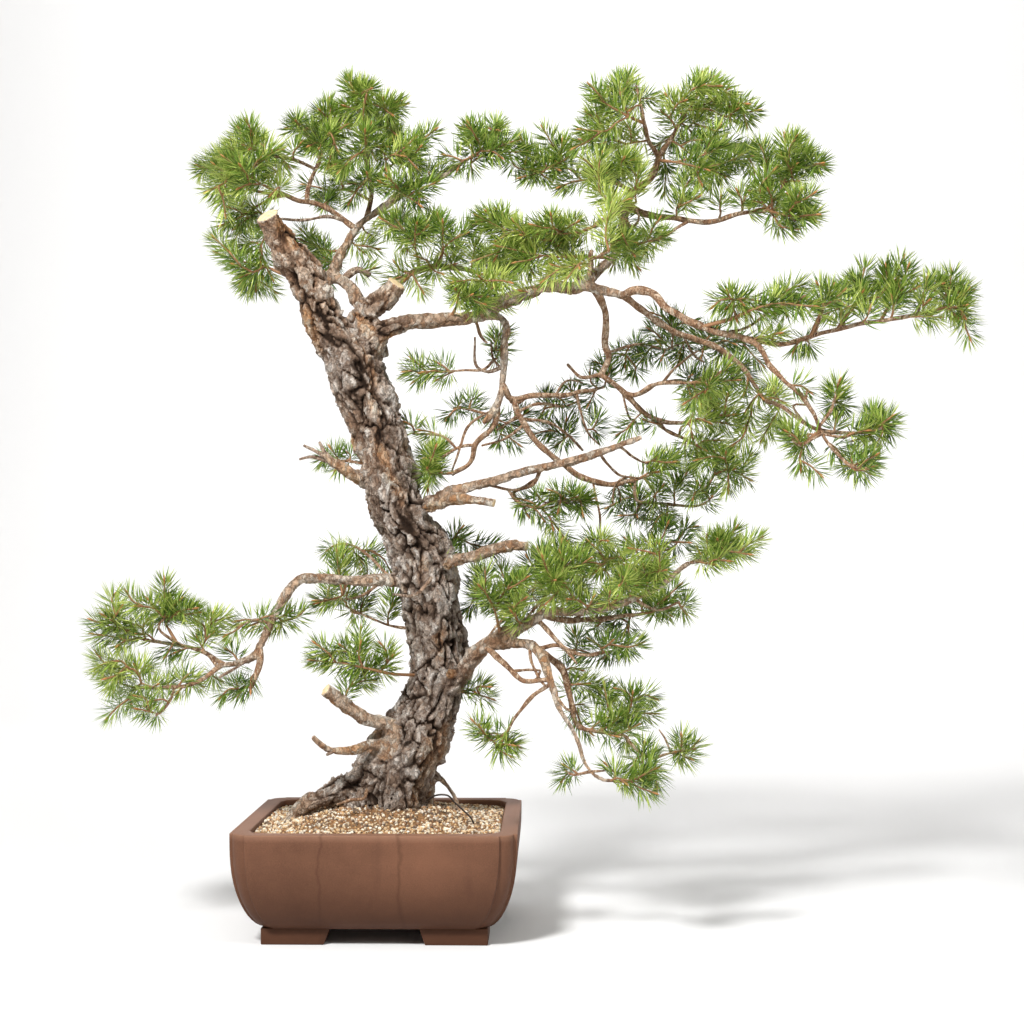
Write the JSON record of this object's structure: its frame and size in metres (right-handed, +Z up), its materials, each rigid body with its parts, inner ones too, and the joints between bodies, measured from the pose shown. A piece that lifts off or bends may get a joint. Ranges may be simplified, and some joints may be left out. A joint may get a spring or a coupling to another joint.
{
  "type": "scots pine bonsai",
  "caption": "Leaning scots pine bonsai with rough plated bark, cut stubs and long drooping boughs, in a square unglazed stoneware pot filled with grit.",
  "frame": {"origin": "bottom centre of the whole object's bounding box, level with the undersides of the pot's feet", "axes": "+Z up; -Y towards the front, where the long boughs run to the right; +X to the right seen from the front"},
  "size_m": [1.2978, 0.4418, 1.2836],
  "materials": {
    "bark": "rough plated bark, smoother and pinker on twigs",
    "needles": "waxy green needles",
    "stoneware": "matte, unglazed",
    "grit": "rough, granular",
    "screen": "matte",
    "wire": "dark anodised"
  },
  "bodies": {
    "root": {"beside_trunk_1": "needles", "beside_trunk_2": "needles", "brush_1": "needles", "brush_2": "needles", "brush_3": "needles", "crown_1": "needles", "crown_2": "needles", "crown_3": "needles", "crown_4": "needles", "crown_5": "needles", "crown_6": "needles", "crown_7": "needles", "crown_8": "needles", "down_right_1": "needles", "down_right_2": "needles", "down_right_3": "needles", "drain_screen_1": "screen", "drain_screen_2": "screen", "far_right_1": "needles", "far_right_2": "needles", "far_right_3": "needles", "far_right_4": "needles", "far_right_5": "needles", "inner_1": "needles", "left_branch_1": "needles", "left_branch_2": "needles", "left_branch_3": "needles", "left_pad_1": "needles", "left_pad_2": "needles", "left_pad_3": "needles", "left_pad_4": "needles", "left_pad_5": "needles", "lower_bough_1": "needles", "lower_bough_2": "needles", "lower_bough_3": "needles", "lower_bough_4": "needles", "lower_bough_5": "needles", "lower_right_1": "needles", "lower_right_2": "needles", "lower_right_3": "needles", "mid_right_1": "needles", "mid_right_2": "needles", "mid_right_3": "needles", "mid_right_4": "needles", "mid_right_5": "needles", "middle_1": "needles", "middle_2": "needles", "middle_3": "needles", "middle_4": "needles", "pot": "stoneware", "soil": "grit", "tie_wire": "wire", "trunk": "bark", "upper_right_1": "needles", "upper_right_2": "needles", "upper_right_3": "needles", "upper_right_4": "needles", "upper_right_5": "needles", "upper_right_6": "needles", "upper_right_7": "needles"}
  },
  "joints": []
}
